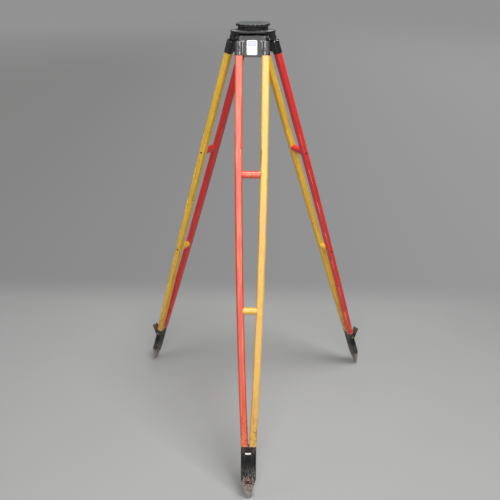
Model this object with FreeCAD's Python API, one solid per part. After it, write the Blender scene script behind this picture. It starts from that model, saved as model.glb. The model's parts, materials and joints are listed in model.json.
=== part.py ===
"""Surveyor's tripod with fixed-length wooden legs and a screw cap on its instrument thread.

Row frame, millimetres: +Z up, the ground is Z = 0, and the origin is on the head's vertical axis.
The front leg points towards -Y, and the other two follow every 120 degrees.
A leg is drawn in its own frame and then placed: origin on its hinge axis, X along that axis
(to the right, seen from outside), Y inwards and Z up along the leg.
In a leg, "down" is the distance from the hinge along the leg, and "out" is the distance
outwards, square to the leg.
"""
import FreeCAD, Part
import math
import os

Vec = FreeCAD.Vector
X_AXIS = Vec(1, 0, 0)
Y_AXIS = Vec(0, 1, 0)
Z_AXIS = Vec(0, 0, 1)

# Stance
LEG_TILT = 18.55               # degrees from the vertical
LEGS = {"front": 0, "right": 120, "left": 240}     # turn about Z from the front leg
HINGE_RADIUS = 50.1            # hinge axis from the head's vertical axis
HINGE_HEIGHT = 1449.0

# Head casting
PLATE_RADIUS = 72.0
PLATE_FLAT = 59.5              # flat over each leg, from the head's vertical axis
PLATE_TOP = 1468.0
PLATE_THICK = 7.0
PLATE_EDGE = 1.5
PLATE_BOTTOM = PLATE_TOP - PLATE_THICK
EAR_RADIUS = 10.0              # round end of a lug about the hinge axis
EAR_GAP_HALF = 42.5            # half the gap between two lugs
BORE_RADIUS = 28.0             # plumb-line well through the head
WELL_RADIUS = 34.0
WELL_BOTTOM = 1450.0
SEAT = 46.5                    # seats of the bolt head and the nut, along the hinge axis
SEAT_RADIUS = 6.2

# Instrument thread, 3 1/2 inch, 8 threads per inch
THREAD_RADIUS = 44.45
THREAD_PITCH = 3.175
THREAD_DEPTH = 1.7
THREAD_TOP = 1482.5
THREAD_TURNS = 4

# Cap
CAP_TOP = 1488.5
FLANGE_RADIUS = 54.3
FLANGE_THICK = 8.0
CAP_ROUND = 2.5
CAP_WALL = 3.6
SKIRT_RADIUS = 48.0
SKIRT_BOTTOM = 1471.0
SKIRT_BORE = THREAD_RADIUS + 0.3
SCALLOPS = 20
SCALLOP_RADIUS = 8.0
SCALLOP_DEPTH = 2.2
FLUTES = 40
FLUTE_RADIUS = 1.6
FLUTE_DEPTH = 0.7
LINER_GAP = 0.3
LINER_RADIUS = 40.0
LINER_BORE = 20.0

# Hinge bolt, M8
BOLT_RADIUS = 4.0
BOLT_CLEARANCE = 0.06
BOLT_HEAD_RADIUS = 6.0         # round and slotted, sunk into the lugs, and so is the nut
BOLT_HEAD_THICK = 4.0
BOLT_SLOT_WIDE = 1.4
BOLT_SLOT_DEEP = 1.5
WASHER_RADIUS = 8.2            # friction washers let into the lugs' inner sides
WASHER_THICK = 1.2
WASHER_CLEARANCE = 0.05

# Leg top casting
YOKE_HALF = 42.2
BARREL_RADIUS = 9.7
FACE_OUT = 10.0
FACE_TOP = -6.1
FACE_ROUND = 3.0
WEB_THICK = 6.0
WEB_HALF = 29.2
WEB_BOTTOM = 59.3
WEB_ROUND = 5.0
WEB_RIB_THICK = 4.0
WEB_RIB_OFFSET = 13.0
WEB_RIB_DEEP = 9.0
SOCKET_WIDE = 27.0
SOCKET_DEEP = 25.0
SOCKET_ROUND = 8.0
SOCKET_TOP = 12.3
SOCKET_BOTTOM = 54.3
SOCKET_ROOF = 6.0
RIVET_DOWN = 40.0
RIVET_RADIUS = 2.5
RIVET_HEAD_RADIUS = 4.3
RIVET_HEAD_THICK = 1.3

# Staves
STAVE_HALF_SPACING = 41.75
STAVE_WIDE = 24.5
STAVE_DEEP = 22.0
STAVE_ROUND = 6.0
STAVE_STRAIGHT_TO = 204.3      # below this the staves bend towards each other
STAVE_BEND_RADIUS = 22800.0
TENON_WIDE = 19.0
TENON_DEEP = 17.0
TENON_ROUND = 3.0
FOOT_TENON_WIDE = 15.0
FOOT_TENON_DEEP = 14.0
FOOT_TENON_LONG = 62.0
FOOT_TENON_CENTRE = 12.5

# Rungs
RUNGS = {"upper": 422.3, "lower": 868.3}
RUNG_RADIUS = 12.0
RUNG_SUNK = 5.0                # depth that a rung is let into a stave
RUNG_END_ROUND = 3.5
RUNG_TENON_RADIUS = 6.5
RUNG_TENON_LONG = 9.0
SCREW_HEAD_RADIUS = 4.0
SCREW_HEAD_THICK = 1.6
SCREW_SUNK = 0.8
SCREW_RADIUS = 2.0
SCREW_LONG = 26.0
SCREW_SLOT = 1.0

# Shoe and point
SHOE_TOP = 1334.3
SHOE_BOTTOM = 1456.0
SHOE_WIDE = 52.0
SHOE_DEEP = 22.0
SHOE_ROUND = 10.0
SPUR_HALF = 12.5
SPUR_ROUND = 3.0
SPUR_OUTLINE = [(46.0, 1345.0), (40.6, 1340.6), (17.5, 1368.0), (8.0, 1374.0), (8.0, 1400.0), (15.5, 1382.0)]
SHOE_RIVET_DOWN = 1358.0
SHOE_RIVET_RADIUS = 3.0
SHOE_RIVET_HEAD = 5.0
POINT_TANG = (20.0, 10.0, 28.0)
POINT_SECTIONS = [             # down, wide, deep, out, corner radius
    (SHOE_BOTTOM, SHOE_WIDE, SHOE_DEEP, 0.0, SHOE_ROUND),
    (1482.0, 38.0, 18.0, -1.6, 7.0),
    (1532.0, 5.0, 5.0, -5.5, 1.8),
]

# Blank label on the front leg's casting
LABEL_WIDE = 32.5
LABEL_TOP = 9.0
LABEL_BOTTOM = 53.5
LABEL_THICK = 0.5
LABEL_ROUND = 4.0
LABEL_OFFSET = -1.0


def cylinder(radius, height, base, direction=Z_AXIS):
    return Part.makeCylinder(radius, height, base, direction)


def box(low, high):
    size = high.sub(low)
    return Part.makeBox(size.x, size.y, size.z, low)


def rounded_bar(wide, deep, corner, z_low, z_high, x=0.0, y=0.0):
    """A bar along Z with rounded long edges, centred on x and y."""
    bar = box(Vec(x - wide / 2, y - deep / 2, z_low), Vec(x + wide / 2, y + deep / 2, z_high))
    long_edges = [edge for edge in bar.Edges if edge.tangentAt(edge.FirstParameter).isParallel(Z_AXIS, 1e-6)]
    return bar.makeFillet(corner, long_edges)


def prism(points, x_low, x_high):
    """A prism along X from an outline of (out, down) points in the leg's frame."""
    corners = [Vec(x_low, -out, -down) for out, down in points]
    return Part.Face(Part.makePolygon(corners + corners[:1])).extrude(Vec(x_high - x_low, 0, 0))


def stave_centre(down):
    """Half the spacing of the staves' centre lines at a distance down the leg."""
    below = max(0.0, down - STAVE_STRAIGHT_TO)
    return STAVE_HALF_SPACING - STAVE_BEND_RADIUS + math.sqrt(STAVE_BEND_RADIUS ** 2 - below ** 2)


def place(shape, leg):
    """Move a shape from a leg's own frame to the row frame."""
    placed = shape.copy()
    placed.rotate(Vec(0, 0, 0), X_AXIS, -LEG_TILT)
    placed.translate(Vec(0, -HINGE_RADIUS, HINGE_HEIGHT))
    placed.rotate(Vec(0, 0, 0), Z_AXIS, LEGS[leg])
    return placed


def hinge_frame(shape, leg):
    """Place a shape that is drawn about the hinge axis, upright."""
    placed = shape.copy()
    placed.translate(Vec(0, -HINGE_RADIUS, HINGE_HEIGHT))
    placed.rotate(Vec(0, 0, 0), Z_AXIS, LEGS[leg])
    return placed


# ---- head

def lug():
    """The corner block between the front and the right leg, round about both hinge axes."""
    drop = PLATE_BOTTOM - HINGE_HEIGHT
    arc = Part.Arc(
        Vec(EAR_GAP_HALF, -EAR_RADIUS, 0),
        Vec(EAR_GAP_HALF, -EAR_RADIUS * math.sqrt(0.5), -EAR_RADIUS * math.sqrt(0.5)),
        Vec(EAR_GAP_HALF, 0, -EAR_RADIUS),
    ).toShape()
    inner = HINGE_RADIUS + PLATE_RADIUS
    corners = [
        Vec(EAR_GAP_HALF, 0, -EAR_RADIUS),
        Vec(EAR_GAP_HALF, inner, -EAR_RADIUS),
        Vec(EAR_GAP_HALF, inner, drop + PLATE_THICK / 2),
        Vec(EAR_GAP_HALF, -EAR_RADIUS, drop + PLATE_THICK / 2),
        Vec(EAR_GAP_HALF, -EAR_RADIUS, 0),
    ]
    wire = Part.Wire([arc] + Part.makePolygon(corners).Edges)
    half = Part.Face(wire).extrude(Vec(PLATE_RADIUS, 0, 0))
    right_half = half.mirror(Vec(0, 0, 0), X_AXIS)
    block = hinge_frame(half, "front").common(hinge_frame(right_half, "right"))
    rim = cylinder(PLATE_RADIUS, PLATE_TOP - WELL_BOTTOM + 60, Vec(0, 0, WELL_BOTTOM - 30))
    return block.common(rim)


def thread_boss():
    """The instrument thread as parallel ridges, with the plumb-line well through it."""
    root = THREAD_RADIUS - THREAD_DEPTH
    ridge_low = THREAD_TOP - THREAD_TURNS * THREAD_PITCH
    outline = [Vec(BORE_RADIUS, 0, PLATE_TOP - 1), Vec(root, 0, PLATE_TOP - 1)]
    for turn in range(THREAD_TURNS):
        low = ridge_low + turn * THREAD_PITCH
        outline += [
            Vec(root, 0, low),
            Vec(THREAD_RADIUS, 0, low + 0.45 * THREAD_PITCH),
            Vec(THREAD_RADIUS, 0, low + 0.6 * THREAD_PITCH),
        ]
    outline += [Vec(root, 0, THREAD_TOP), Vec(BORE_RADIUS, 0, THREAD_TOP), outline[0]]
    return Part.Face(Part.makePolygon(outline)).revolve(Vec(0, 0, 0), Z_AXIS, 360)


def lug_pockets():
    """The counterbore for the right-hand end of a bolt, and the recess for its friction washer."""
    counterbore = cylinder(SEAT_RADIUS, PLATE_RADIUS, Vec(SEAT, 0, 0), X_AXIS)
    washer_radius = WASHER_RADIUS + WASHER_CLEARANCE
    recess = cylinder(washer_radius, WASHER_THICK + 1, Vec(EAR_GAP_HALF - 1, 0, 0), X_AXIS)
    return Part.makeCompound([counterbore, recess])


def head_plate():
    """The disc that an instrument sits on, with a flat over each leg and rounded rims."""
    plate = cylinder(PLATE_RADIUS, PLATE_THICK, Vec(0, 0, PLATE_BOTTOM))
    corner = Vec(-PLATE_RADIUS, -PLATE_FLAT - PLATE_RADIUS, PLATE_BOTTOM)
    for turn in LEGS.values():
        beyond = Part.makeBox(2 * PLATE_RADIUS, PLATE_RADIUS, PLATE_THICK, corner)
        beyond.rotate(Vec(0, 0, 0), Z_AXIS, turn)
        plate = plate.cut(beyond)
    plate = plate.removeSplitter()
    rims = [edge for edge in plate.Edges if edge.BoundBox.ZLength < 1e-6]
    return plate.makeFillet(PLATE_EDGE, rims)


def head_casting():
    well = cylinder(WELL_RADIUS, PLATE_BOTTOM - WELL_BOTTOM + 1, Vec(0, 0, WELL_BOTTOM))
    block = lug()
    head = head_plate().fuse([well, thread_boss()])
    for turn in LEGS.values():
        turned = block.copy()
        turned.rotate(Vec(0, 0, 0), Z_AXIS, turn)
        head = head.fuse(turned)
    head = head.cut(cylinder(BORE_RADIUS, 60, Vec(0, 0, WELL_BOTTOM - 10)))
    hole_radius = BOLT_RADIUS + BOLT_CLEARANCE
    hole = cylinder(hole_radius, 2 * PLATE_RADIUS, Vec(-PLATE_RADIUS, 0, 0), X_AXIS)
    pockets = lug_pockets()
    for leg in LEGS:
        for cutter in (hole, pockets, pockets.mirror(Vec(0, 0, 0), X_AXIS)):
            head = head.cut(hinge_frame(cutter, leg))
    return head.removeSplitter()


def cap():
    flange_bottom = CAP_TOP - FLANGE_THICK
    flange = cylinder(FLANGE_RADIUS, FLANGE_THICK, Vec(0, 0, flange_bottom))
    cutter = cylinder(SCALLOP_RADIUS, FLANGE_THICK + 2, Vec(0, 0, flange_bottom - 1))
    for index in range(SCALLOPS):
        angle = 2 * math.pi * index / SCALLOPS
        reach = FLANGE_RADIUS + SCALLOP_RADIUS - SCALLOP_DEPTH
        groove = cutter.copy()
        groove.translate(Vec(reach * math.cos(angle), reach * math.sin(angle), 0))
        flange = flange.cut(groove)
    top_rim = [edge for edge in flange.Edges if edge.BoundBox.ZMin > CAP_TOP - 0.01]
    flange = flange.makeChamfer(CAP_ROUND * 0.6, top_rim)
    skirt = cylinder(SKIRT_RADIUS, flange_bottom - SKIRT_BOTTOM + 1, Vec(0, 0, SKIRT_BOTTOM))
    flute = cylinder(FLUTE_RADIUS, flange_bottom - SKIRT_BOTTOM + 2, Vec(0, 0, SKIRT_BOTTOM - 2))
    for index in range(FLUTES):
        angle = 2 * math.pi * (index + 0.5) / FLUTES
        reach = SKIRT_RADIUS + FLUTE_RADIUS - FLUTE_DEPTH
        groove = flute.copy()
        groove.translate(Vec(reach * math.cos(angle), reach * math.sin(angle), 0))
        skirt = skirt.cut(groove)
    body = flange.fuse(skirt)
    cavity = cylinder(SKIRT_BORE, CAP_TOP - CAP_WALL - SKIRT_BOTTOM + 1, Vec(0, 0, SKIRT_BOTTOM - 1))
    return body.cut(cavity).removeSplitter()


def cap_liner():
    low = THREAD_TOP + LINER_GAP
    high = CAP_TOP - CAP_WALL - LINER_GAP
    disc = cylinder(LINER_RADIUS, high - low, Vec(0, 0, low))
    return disc.cut(cylinder(LINER_BORE, high - low + 2, Vec(0, 0, low - 1)))


# ---- hinge hardware, drawn about the hinge axis

def slot_cutter(end, side):
    """A screwdriver slot across a round end whose outer face is at X = side * end."""
    reach = 2 * BOLT_HEAD_RADIUS
    near, far = sorted((side * (end - BOLT_SLOT_DEEP), side * (end + 1)))
    return box(Vec(near, -reach, -BOLT_SLOT_WIDE / 2), Vec(far, reach, BOLT_SLOT_WIDE / 2))


def hinge_bolt():
    outer = SEAT + BOLT_HEAD_THICK
    shank_high = outer - BOLT_SLOT_DEEP
    shank = cylinder(BOLT_RADIUS, shank_high + SEAT, Vec(-SEAT, 0, 0), X_AXIS)
    head = cylinder(BOLT_HEAD_RADIUS, BOLT_HEAD_THICK, Vec(-outer, 0, 0), X_AXIS)
    return shank.fuse(head).cut(slot_cutter(outer, -1)).removeSplitter()


def hinge_nut():
    ring = cylinder(BOLT_HEAD_RADIUS, BOLT_HEAD_THICK, Vec(SEAT, 0, 0), X_AXIS)
    hole = cylinder(BOLT_RADIUS, BOLT_HEAD_THICK + 2, Vec(SEAT - 1, 0, 0), X_AXIS)
    return ring.cut(hole).cut(slot_cutter(SEAT + BOLT_HEAD_THICK, 1))


def hinge_washers():
    washers = []
    for low in (-EAR_GAP_HALF - WASHER_THICK, EAR_GAP_HALF):
        disc = cylinder(WASHER_RADIUS, WASHER_THICK, Vec(low, 0, 0), X_AXIS)
        hole = cylinder(BOLT_RADIUS, WASHER_THICK + 2, Vec(low - 1, 0, 0), X_AXIS)
        washers.append(disc.cut(hole))
    return Part.makeCompound(washers)


# ---- leg, drawn in the leg's own frame

def yoke():
    barrel = cylinder(BARREL_RADIUS, 2 * YOKE_HALF, Vec(-YOKE_HALF, 0, 0), X_AXIS)
    face = box(Vec(-YOKE_HALF, -FACE_OUT, -SOCKET_TOP - 4), Vec(YOKE_HALF, 0, -FACE_TOP))
    top_edge = [
        edge for edge in face.Edges
        if edge.BoundBox.YMax < -FACE_OUT + 0.01 and edge.BoundBox.ZMin > -FACE_TOP - 0.01
    ]
    face = face.makeFillet(FACE_ROUND, top_edge)
    web = box(Vec(-WEB_HALF, -FACE_OUT, -WEB_BOTTOM), Vec(WEB_HALF, -FACE_OUT + WEB_THICK, -SOCKET_TOP))
    low_corners = [
        edge for edge in web.Edges
        if edge.BoundBox.ZMax < -WEB_BOTTOM + 0.01 and edge.BoundBox.XLength < 0.01
    ]
    web = web.makeFillet(WEB_ROUND, low_corners)
    body = barrel.fuse([face, web])
    for side in (-1, 1):
        rib_x = side * WEB_RIB_OFFSET
        rib_low = Vec(rib_x - WEB_RIB_THICK / 2, -FACE_OUT + WEB_THICK - 1, -WEB_BOTTOM + WEB_ROUND)
        rib_high = Vec(rib_x + WEB_RIB_THICK / 2, -FACE_OUT + WEB_THICK + WEB_RIB_DEEP, 0)
        centre = side * STAVE_HALF_SPACING
        socket = rounded_bar(SOCKET_WIDE, SOCKET_DEEP, SOCKET_ROUND, -SOCKET_BOTTOM, -SOCKET_TOP, centre)
        body = body.fuse([box(rib_low, rib_high), socket])
    for side in (-1, 1):
        centre = side * STAVE_HALF_SPACING
        roof = -SOCKET_TOP - SOCKET_ROOF
        cavity = rounded_bar(TENON_WIDE, TENON_DEEP, TENON_ROUND, -WEB_BOTTOM - 1, roof, centre)
        body = body.cut(cavity).cut(rivet_hole(centre))
    pin_hole = cylinder(BOLT_RADIUS + BOLT_CLEARANCE, 4 * YOKE_HALF, Vec(-2 * YOKE_HALF, 0, 0), X_AXIS)
    return body.cut(pin_hole).removeSplitter()


def rivet_hole(centre):
    return cylinder(RIVET_RADIUS, 2 * SOCKET_DEEP, Vec(centre, -SOCKET_DEEP, -RIVET_DOWN), Y_AXIS)


def dome(radius, thick, base, direction):
    """A rivet head: the cap of a sphere."""
    sphere_radius = (radius ** 2 + thick ** 2) / (2 * thick)
    centre = base.sub(Vec(direction).multiply(sphere_radius - thick))
    sphere = Part.makeSphere(sphere_radius, centre)
    return sphere.common(cylinder(radius + 1, thick + 1, base, direction))


def socket_rivets():
    rivets = []
    half = SOCKET_DEEP / 2
    for side in (-1, 1):
        centre = side * STAVE_HALF_SPACING
        shank = cylinder(RIVET_RADIUS, 2 * half, Vec(centre, -half, -RIVET_DOWN), Y_AXIS)
        outer = dome(RIVET_HEAD_RADIUS, RIVET_HEAD_THICK, Vec(centre, -half, -RIVET_DOWN), Vec(0, -1, 0))
        inner = dome(RIVET_HEAD_RADIUS, RIVET_HEAD_THICK, Vec(centre, half, -RIVET_DOWN), Y_AXIS)
        rivets.append(shank.fuse([outer, inner]).removeSplitter())
    return Part.makeCompound(rivets)


def stave_edge(offset, down):
    """X of one edge of the right-hand stave, a parallel of its centre line."""
    below = max(0.0, down - STAVE_STRAIGHT_TO)
    radius = STAVE_BEND_RADIUS + offset
    return STAVE_HALF_SPACING - STAVE_BEND_RADIUS + math.sqrt(radius ** 2 - below ** 2)


def stave_bar():
    """The right-hand stave between its tenons: straight at the top, then bent inwards."""
    half = STAVE_WIDE / 2
    depth = -STAVE_DEEP / 2
    edges = []
    middle = (STAVE_STRAIGHT_TO + SHOE_TOP) / 2
    corners = {}
    for offset in (-half, half):
        top = Vec(stave_edge(offset, 0), depth, -SOCKET_BOTTOM)
        knee = Vec(stave_edge(offset, 0), depth, -STAVE_STRAIGHT_TO)
        mid = Vec(stave_edge(offset, middle), depth, -middle)
        low = Vec(stave_edge(offset, SHOE_TOP), depth, -SHOE_TOP)
        edges += [Part.makeLine(top, knee), Part.Arc(knee, mid, low).toShape()]
        corners[offset] = (top, low)
    edges.append(Part.makeLine(corners[-half][0], corners[half][0]))
    edges.append(Part.makeLine(corners[-half][1], corners[half][1]))
    outline = Part.Wire(Part.__sortEdges__(edges))
    bar = Part.Face(outline).extrude(Vec(0, STAVE_DEEP, 0))
    long_edges = [edge for edge in bar.Edges if edge.Length > 100]
    return bar.makeFillet(STAVE_ROUND, long_edges)


def stave(side, rungs, screws):
    """A stave with its tenons, cut for its rungs and fasteners. side is -1 for the left one."""
    bar = stave_bar()
    head_tenon = rounded_bar(
        TENON_WIDE, TENON_DEEP, TENON_ROUND,
        -SOCKET_BOTTOM - 1, -SOCKET_TOP - SOCKET_ROOF - 0.3, STAVE_HALF_SPACING)
    foot_tenon = rounded_bar(
        FOOT_TENON_WIDE, FOOT_TENON_DEEP, TENON_ROUND / 2,
        -SHOE_TOP - FOOT_TENON_LONG, -SHOE_TOP + 1, FOOT_TENON_CENTRE)
    whole = bar.fuse([head_tenon, foot_tenon])
    if side < 0:
        whole = whole.mirror(Vec(0, 0, 0), X_AXIS)
    cutters = list(rungs) + [screw_pocket(side, down) for down in RUNGS.values()]
    cutters += [rivet_hole(side * STAVE_HALF_SPACING), shoe_rivet_hole(), screws]
    for cutter in cutters:
        whole = whole.cut(cutter)
    return whole.removeSplitter()


def rung(down, screws):
    """A turned rung, let into both staves, with a thinner tenon at each end."""
    half = stave_centre(down) - STAVE_WIDE / 2 + RUNG_SUNK
    body = cylinder(RUNG_RADIUS, 2 * half, Vec(-half, 0, -down), X_AXIS)
    rims = [edge for edge in body.Edges if edge.Closed and edge.BoundBox.XLength < 1e-6]
    body = body.makeFillet(RUNG_END_ROUND, rims)
    tenon_half = half + RUNG_TENON_LONG
    tenon = cylinder(RUNG_TENON_RADIUS, 2 * tenon_half, Vec(-tenon_half, 0, -down), X_AXIS)
    return body.fuse(tenon).cut(screws).removeSplitter()


def screw_seat(down):
    """X of the bottom of a screw's pocket in the right-hand stave."""
    return stave_centre(down) + STAVE_WIDE / 2 - SCREW_HEAD_THICK - SCREW_SUNK


def screw_pocket(side, down):
    base = Vec(side * screw_seat(down), 0, -down)
    return cylinder(SCREW_HEAD_RADIUS, STAVE_WIDE, base, Vec(side, 0, 0))


def rung_screws():
    screws = []
    for down in RUNGS.values():
        for side in (-1, 1):
            seat = screw_seat(down)
            inwards = Vec(-side, 0, 0)
            head = cylinder(SCREW_HEAD_RADIUS, SCREW_HEAD_THICK, Vec(side * seat, 0, -down), Vec(side, 0, 0))
            shank = cylinder(SCREW_RADIUS, SCREW_LONG, Vec(side * seat, 0, -down), inwards)
            top = side * (seat + SCREW_HEAD_THICK)
            slot = box(
                Vec(min(top, top - side * 0.8), -SCREW_HEAD_RADIUS, -down - SCREW_SLOT / 2),
                Vec(max(top, top - side * 0.8), SCREW_HEAD_RADIUS, -down + SCREW_SLOT / 2))
            screws.append(head.fuse(shank).cut(slot).removeSplitter())
    return Part.makeCompound(screws)


def shoe_rivet_hole():
    return cylinder(SHOE_RIVET_RADIUS, 2 * SHOE_WIDE, Vec(-SHOE_WIDE, 0, -SHOE_RIVET_DOWN), X_AXIS)


def shoe_rivet():
    half = SHOE_WIDE / 2
    shank = cylinder(SHOE_RIVET_RADIUS, 2 * half, Vec(-half, 0, -SHOE_RIVET_DOWN), X_AXIS)
    ends = []
    for side in (-1, 1):
        base = Vec(side * half, 0, -SHOE_RIVET_DOWN)
        ends.append(dome(SHOE_RIVET_HEAD, RIVET_HEAD_THICK, base, Vec(side, 0, 0)))
    return shank.fuse(ends).removeSplitter()


def shoe(staves, point):
    """The foot casting: two tenon pockets, a spur to tread on, and a pocket for the point's tang."""
    body = rounded_bar(SHOE_WIDE, SHOE_DEEP, SHOE_ROUND, -SHOE_BOTTOM, -SHOE_TOP)
    spur = prism(SPUR_OUTLINE, -SPUR_HALF, SPUR_HALF)
    corners = [
        edge for edge in spur.Edges
        if edge.BoundBox.XLength < 0.01 and edge.BoundBox.YMax < -SPUR_OUTLINE[1][0] + 0.1
    ]
    spur = spur.makeFillet(SPUR_ROUND, corners)
    whole = body.fuse(spur)
    for cutter in list(staves) + [point, shoe_rivet_hole()]:
        whole = whole.cut(cutter)
    return whole.removeSplitter()


def point_section(down, wide, deep, out, corner):
    bar = rounded_bar(wide, deep, corner, -down, -down + 1, 0.0, -out)
    bottom = [face for face in bar.Faces if face.BoundBox.ZMax < -down + 0.01]
    return bottom[0].OuterWire


def shoe_point():
    """The steel point, with a tang up into the shoe; the ground cuts off its tip when it is placed."""
    wires = [point_section(*section) for section in POINT_SECTIONS]
    body = Part.makeLoft(wires, True, True)
    wide, deep, long = POINT_TANG
    tang = box(Vec(-wide / 2, -deep / 2, -SHOE_BOTTOM - 1), Vec(wide / 2, deep / 2, -SHOE_BOTTOM + long))
    return body.fuse(tang).removeSplitter()


def label():
    middle = -(LABEL_TOP + LABEL_BOTTOM) / 2
    sheet = rounded_bar(LABEL_WIDE, LABEL_BOTTOM - LABEL_TOP, LABEL_ROUND, 0, LABEL_THICK)
    sheet.rotate(Vec(0, 0, 0), X_AXIS, 90)
    sheet.translate(Vec(LABEL_OFFSET, -FACE_OUT, middle))
    return sheet


def leg_pieces():
    """Every piece of one leg, in the leg's own frame."""
    screws = rung_screws()
    rungs = {name: rung(down, screws) for name, down in RUNGS.items()}
    red = stave(-1, rungs.values(), screws)
    yellow = stave(1, rungs.values(), screws)
    point = shoe_point()
    return {
        "yoke": yoke(),
        "stave_red": red,
        "stave_yellow": yellow,
        "rung_upper": rungs["upper"],
        "rung_lower": rungs["lower"],
        "rung_screws": screws,
        "socket_rivets": socket_rivets(),
        "shoe": shoe([red, yellow], point),
        "shoe_rivet": shoe_rivet(),
        "shoe_point": point,
    }


def main():
    os.makedirs("parts", exist_ok=True)
    parts = {"head_casting": head_casting(), "cap": cap(), "cap_liner": cap_liner()}
    hardware = {
        "hinge_bolt": hinge_bolt(),
        "hinge_nut": hinge_nut(),
        "hinge_washers": hinge_washers(),
    }
    pieces = leg_pieces()
    ground = box(Vec(-1000, -1000, -200), Vec(1000, 1000, 0))
    for leg in LEGS:
        for name, shape in hardware.items():
            parts[name + "_" + leg] = hinge_frame(shape, leg)
        for name, shape in pieces.items():
            placed = place(shape, leg)
            if name == "shoe_point":
                placed = placed.cut(ground)
            parts[name + "_" + leg] = placed
    parts["label"] = place(label(), "front")
    for name, shape in parts.items():
        print(name, "valid", shape.isValid(), "solids", len(shape.Solids), "mm3", round(shape.Volume))
        shape.exportStep("parts/" + name + ".step")


main()
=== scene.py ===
"""Looks of a surveyor's tripod: painted wooden legs, black castings and a screw cap. In metres."""
import json
import math

import bmesh
import bpy
import numpy as np
from mathutils import Matrix, Vector, noise


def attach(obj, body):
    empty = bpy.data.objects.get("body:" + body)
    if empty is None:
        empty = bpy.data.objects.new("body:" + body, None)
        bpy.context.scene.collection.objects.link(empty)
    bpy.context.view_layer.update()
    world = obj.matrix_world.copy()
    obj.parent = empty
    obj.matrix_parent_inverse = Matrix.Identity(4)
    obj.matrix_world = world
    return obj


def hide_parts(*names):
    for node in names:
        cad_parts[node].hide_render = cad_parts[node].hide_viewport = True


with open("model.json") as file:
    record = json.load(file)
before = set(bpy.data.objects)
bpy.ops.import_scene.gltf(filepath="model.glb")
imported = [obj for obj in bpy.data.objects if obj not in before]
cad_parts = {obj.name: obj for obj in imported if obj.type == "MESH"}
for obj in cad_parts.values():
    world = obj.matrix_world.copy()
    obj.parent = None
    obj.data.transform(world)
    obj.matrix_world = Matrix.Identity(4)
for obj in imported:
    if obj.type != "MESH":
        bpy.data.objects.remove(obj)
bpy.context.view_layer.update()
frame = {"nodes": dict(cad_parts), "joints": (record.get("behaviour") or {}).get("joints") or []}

LEGS = ("front", "right", "left")
MM = 0.001

# The legs' shape, as in the design, and the places of their wear. In metres, in a leg's own frame.
LEG_TILT = math.radians(18.55)
STAVE_SPACING = 0.04175
STAVE_HALF_WIDE = 0.01225
STAVE_HALF_DEEP = 0.011
STAVE_STRAIGHT = 0.2043
STAVE_BEND = 22.8
SOCKET_FACE = 0.0125
SOCKET_TOP = 0.0123
SOCKET_BOTTOM = 0.0543
SHOE_TOP = 1.3343
SHOE_BOTTOM = 1.456
SPUR_OUT = 0.0406
SPUR_TOP = 1.3406
SPUR_RISE = (0.645, 0.764)     # direction of the spur: outwards and up the leg
SEAM_ASIDE = 0.0395            # seam down the outer face of each socket
SEAM_HEIGHT = 0.0006
SEAM_HALF_WIDE = 0.0017
SOCKET_EDGE = 0.0305           # rubbed inner corner of each socket
CORNER_GAIN = 0.9              # how bare that corner is, beside the seam
SHOULDER_ASIDE = 0.030         # middle of the rubbed stretch of a socket's shoulder
OUTER_FACE = (-0.0085, -0.0095)   # Y where the sockets' outer face begins
SHOE_WEAR = (1.10, 1.31)       # down the leg: wear near the shoe sets in
TOP_WEAR = (0.16, 0.06)        # wear near the top sets in, going up
DUST_ENDS = (1.375, 1.345)     # dust on the shoe fades in, going up

# The head and the cap
PLATE_TOP = 1.468
WELL_RADIUS = 0.028
THREAD_RADIUS = 0.04445
THREAD_DEPTH = 0.0017
THREAD_PITCH = 0.003175
THREAD_TOP = 1.4825
CAP_TOP = 1.4885
FLANGE_BOTTOM = 1.4805
FLANGE_RADIUS = 0.0543
SCALLOPS = 20
SCALLOP_DEPTH = 0.0024
SKIRT_RADIUS = 0.048
SKIRT_BOTTOM = 1.471
FLUTES = 40
FLUTE_DEPTH = 0.0008
CAP_BORE = 0.04475
CAP_WALL = 0.0036
RIM_ROUND = 0.0016
CAP_THREAD_DEPTH = 0.0012
THREAD_RINGS = 42              # rings of points up the instrument thread
CAP_THREAD_RINGS = 32
THREAD_STEPS = 180             # points round a ring
CAP_STEPS = 480
# Radius and depth, in mm, along the cap's top: flat, with one shallow groove
CAP_FACE = (
    (12, 0), (24, 0), (36, 0), (37.6, 0.02), (38.3, 0.35), (39, 0.02), (41, 0), (47, 0))

# The label's printed field, in its leg's frame
FIELD_ASIDE = 0.001
FIELD_DOWN = 0.019
FIELD_HALF_WIDE = 0.012
FIELD_HALF_HIGH = 0.0065

# The castings' skins
MERGE_DISTANCE = 0.000002
YOKE_VOXEL = 0.0011
SHOE_VOXEL = 0.0011
HEAD_VOXEL = 0.0013
SMOOTHING_ROUNDS = 3
SKIN_DEPTH = 0.00009
SKIN_GRAIN = 0.005
WEAR_LEAST = 0.000055          # how far a vertex stands out where wear begins
WEAR_FULL = 0.00015
WEAR_GAIN = 1.8                # makes up for what smoothing the wear takes off it
CAP_WEAR_LEAST = 0.00002
CAP_WEAR_FULL = 0.00012

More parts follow.
